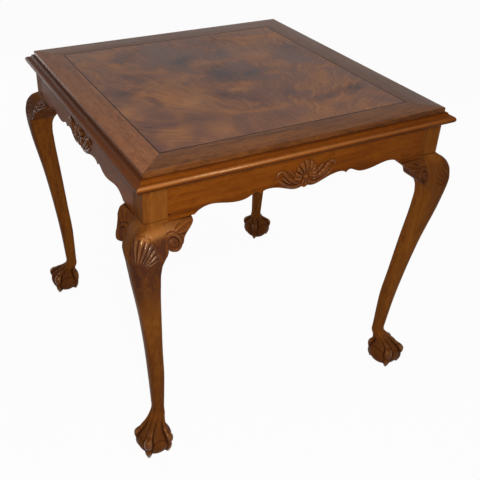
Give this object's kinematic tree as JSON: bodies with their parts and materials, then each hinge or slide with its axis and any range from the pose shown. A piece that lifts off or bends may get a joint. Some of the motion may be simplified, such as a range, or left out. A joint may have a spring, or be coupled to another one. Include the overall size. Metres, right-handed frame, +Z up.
{
  "type": "games table",
  "caption": "Square games table: figured veneer top with dark stringing and beaded edge, scalloped aprons with carved shells, cabriole legs on ball-and-claw feet.",
  "frame": {"origin": "on the floor under the middle of the table", "axes": "+Z up, -Y out of the front rail, +X to the right seen from the front"},
  "size_m": [0.792, 0.792, 0.75],
  "materials": {
    "figured_walnut_veneer": "satin lacquer over crotch figure",
    "border_walnut": "satin lacquer over straight grain",
    "solid_walnut": "satin lacquer, warm brown stain",
    "carved_walnut": "satin lacquer, stain darker in the hollows",
    "ebonised_stringing": "flush under the lacquer",
    "secondary_wood": "planed, unfinished",
    "steel_screw": "plain zinc"
  },
  "bodies": {
    "table": {"apron_rail_back": "solid_walnut", "apron_rail_front": "solid_walnut", "apron_rail_left": "solid_walnut", "apron_rail_right": "solid_walnut", "corner_block_back_left": "secondary_wood", "corner_block_back_right": "secondary_wood", "corner_block_front_left": "secondary_wood", "corner_block_front_right": "secondary_wood", "corner_block_screws": "steel_screw", "edge_moulding_back": "solid_walnut", "edge_moulding_front": "solid_walnut", "edge_moulding_left": "solid_walnut", "edge_moulding_right": "solid_walnut", "field_veneer_back_left": "figured_walnut_veneer", "field_veneer_back_right": "figured_walnut_veneer", "field_veneer_front_left": "figured_walnut_veneer", "field_veneer_front_right": "figured_walnut_veneer", "knee_bracket_back_1": "carved_walnut", "knee_bracket_back_2": "carved_walnut", "knee_bracket_front_1": "carved_walnut", "knee_bracket_front_2": "carved_walnut", "knee_bracket_left_1": "carved_walnut", "knee_bracket_left_2": "carved_walnut", "knee_bracket_right_1": "carved_walnut", "knee_bracket_right_2": "carved_walnut", "leg_back_left": "solid_walnut", "leg_back_right": "solid_walnut", "leg_front_left": "solid_walnut", "leg_front_right": "solid_walnut", "shell_carving_back": "carved_walnut", "shell_carving_front": "carved_walnut", "shell_carving_left": "carved_walnut", "shell_carving_right": "carved_walnut", "stringing_back": "ebonised_stringing", "stringing_front": "ebonised_stringing", "stringing_left": "ebonised_stringing", "stringing_right": "ebonised_stringing", "top_border_back": "border_walnut", "top_border_front": "border_walnut", "top_border_left": "border_walnut", "top_border_right": "border_walnut", "top_button_screws": "steel_screw", "top_core": "secondary_wood"},
    "turn_button_front_1": {"top_button_front_1": "secondary_wood"},
    "turn_button_front_2": {"top_button_front_2": "secondary_wood"},
    "turn_button_right_1": {"top_button_right_1": "secondary_wood"},
    "turn_button_right_2": {"top_button_right_2": "secondary_wood"},
    "turn_button_back_1": {"top_button_back_1": "secondary_wood"},
    "turn_button_back_2": {"top_button_back_2": "secondary_wood"},
    "turn_button_left_1": {"top_button_left_1": "secondary_wood"},
    "turn_button_left_2": {"top_button_left_2": "secondary_wood"}
  },
  "joints": [
    {"name": "turn_front_1", "type": "hinge", "parent": "table", "child": "turn_button_front_1", "pos_m": [-0.15, -0.317, 0.716], "axis": [0, 0, 1], "range_deg": [-90, 90]},
    {"name": "turn_front_2", "type": "hinge", "parent": "table", "child": "turn_button_front_2", "pos_m": [0.15, -0.317, 0.716], "axis": [0, 0, 1], "range_deg": [-90, 90]},
    {"name": "turn_right_1", "type": "hinge", "parent": "table", "child": "turn_button_right_1", "pos_m": [0.317, -0.15, 0.716], "axis": [0, 0, 1], "range_deg": [-90, 90]},
    {"name": "turn_right_2", "type": "hinge", "parent": "table", "child": "turn_button_right_2", "pos_m": [0.317, 0.15, 0.716], "axis": [0, 0, 1], "range_deg": [-90, 90]},
    {"name": "turn_back_1", "type": "hinge", "parent": "table", "child": "turn_button_back_1", "pos_m": [0.15, 0.317, 0.716], "axis": [0, 0, 1], "range_deg": [-90, 90]},
    {"name": "turn_back_2", "type": "hinge", "parent": "table", "child": "turn_button_back_2", "pos_m": [-0.15, 0.317, 0.716], "axis": [0, 0, 1], "range_deg": [-90, 90]},
    {"name": "turn_left_1", "type": "hinge", "parent": "table", "child": "turn_button_left_1", "pos_m": [-0.317, 0.15, 0.716], "axis": [0, 0, 1], "range_deg": [-90, 90]},
    {"name": "turn_left_2", "type": "hinge", "parent": "table", "child": "turn_button_left_2", "pos_m": [-0.317, -0.15, 0.716], "axis": [0, 0, 1], "range_deg": [-90, 90]}
  ]
}
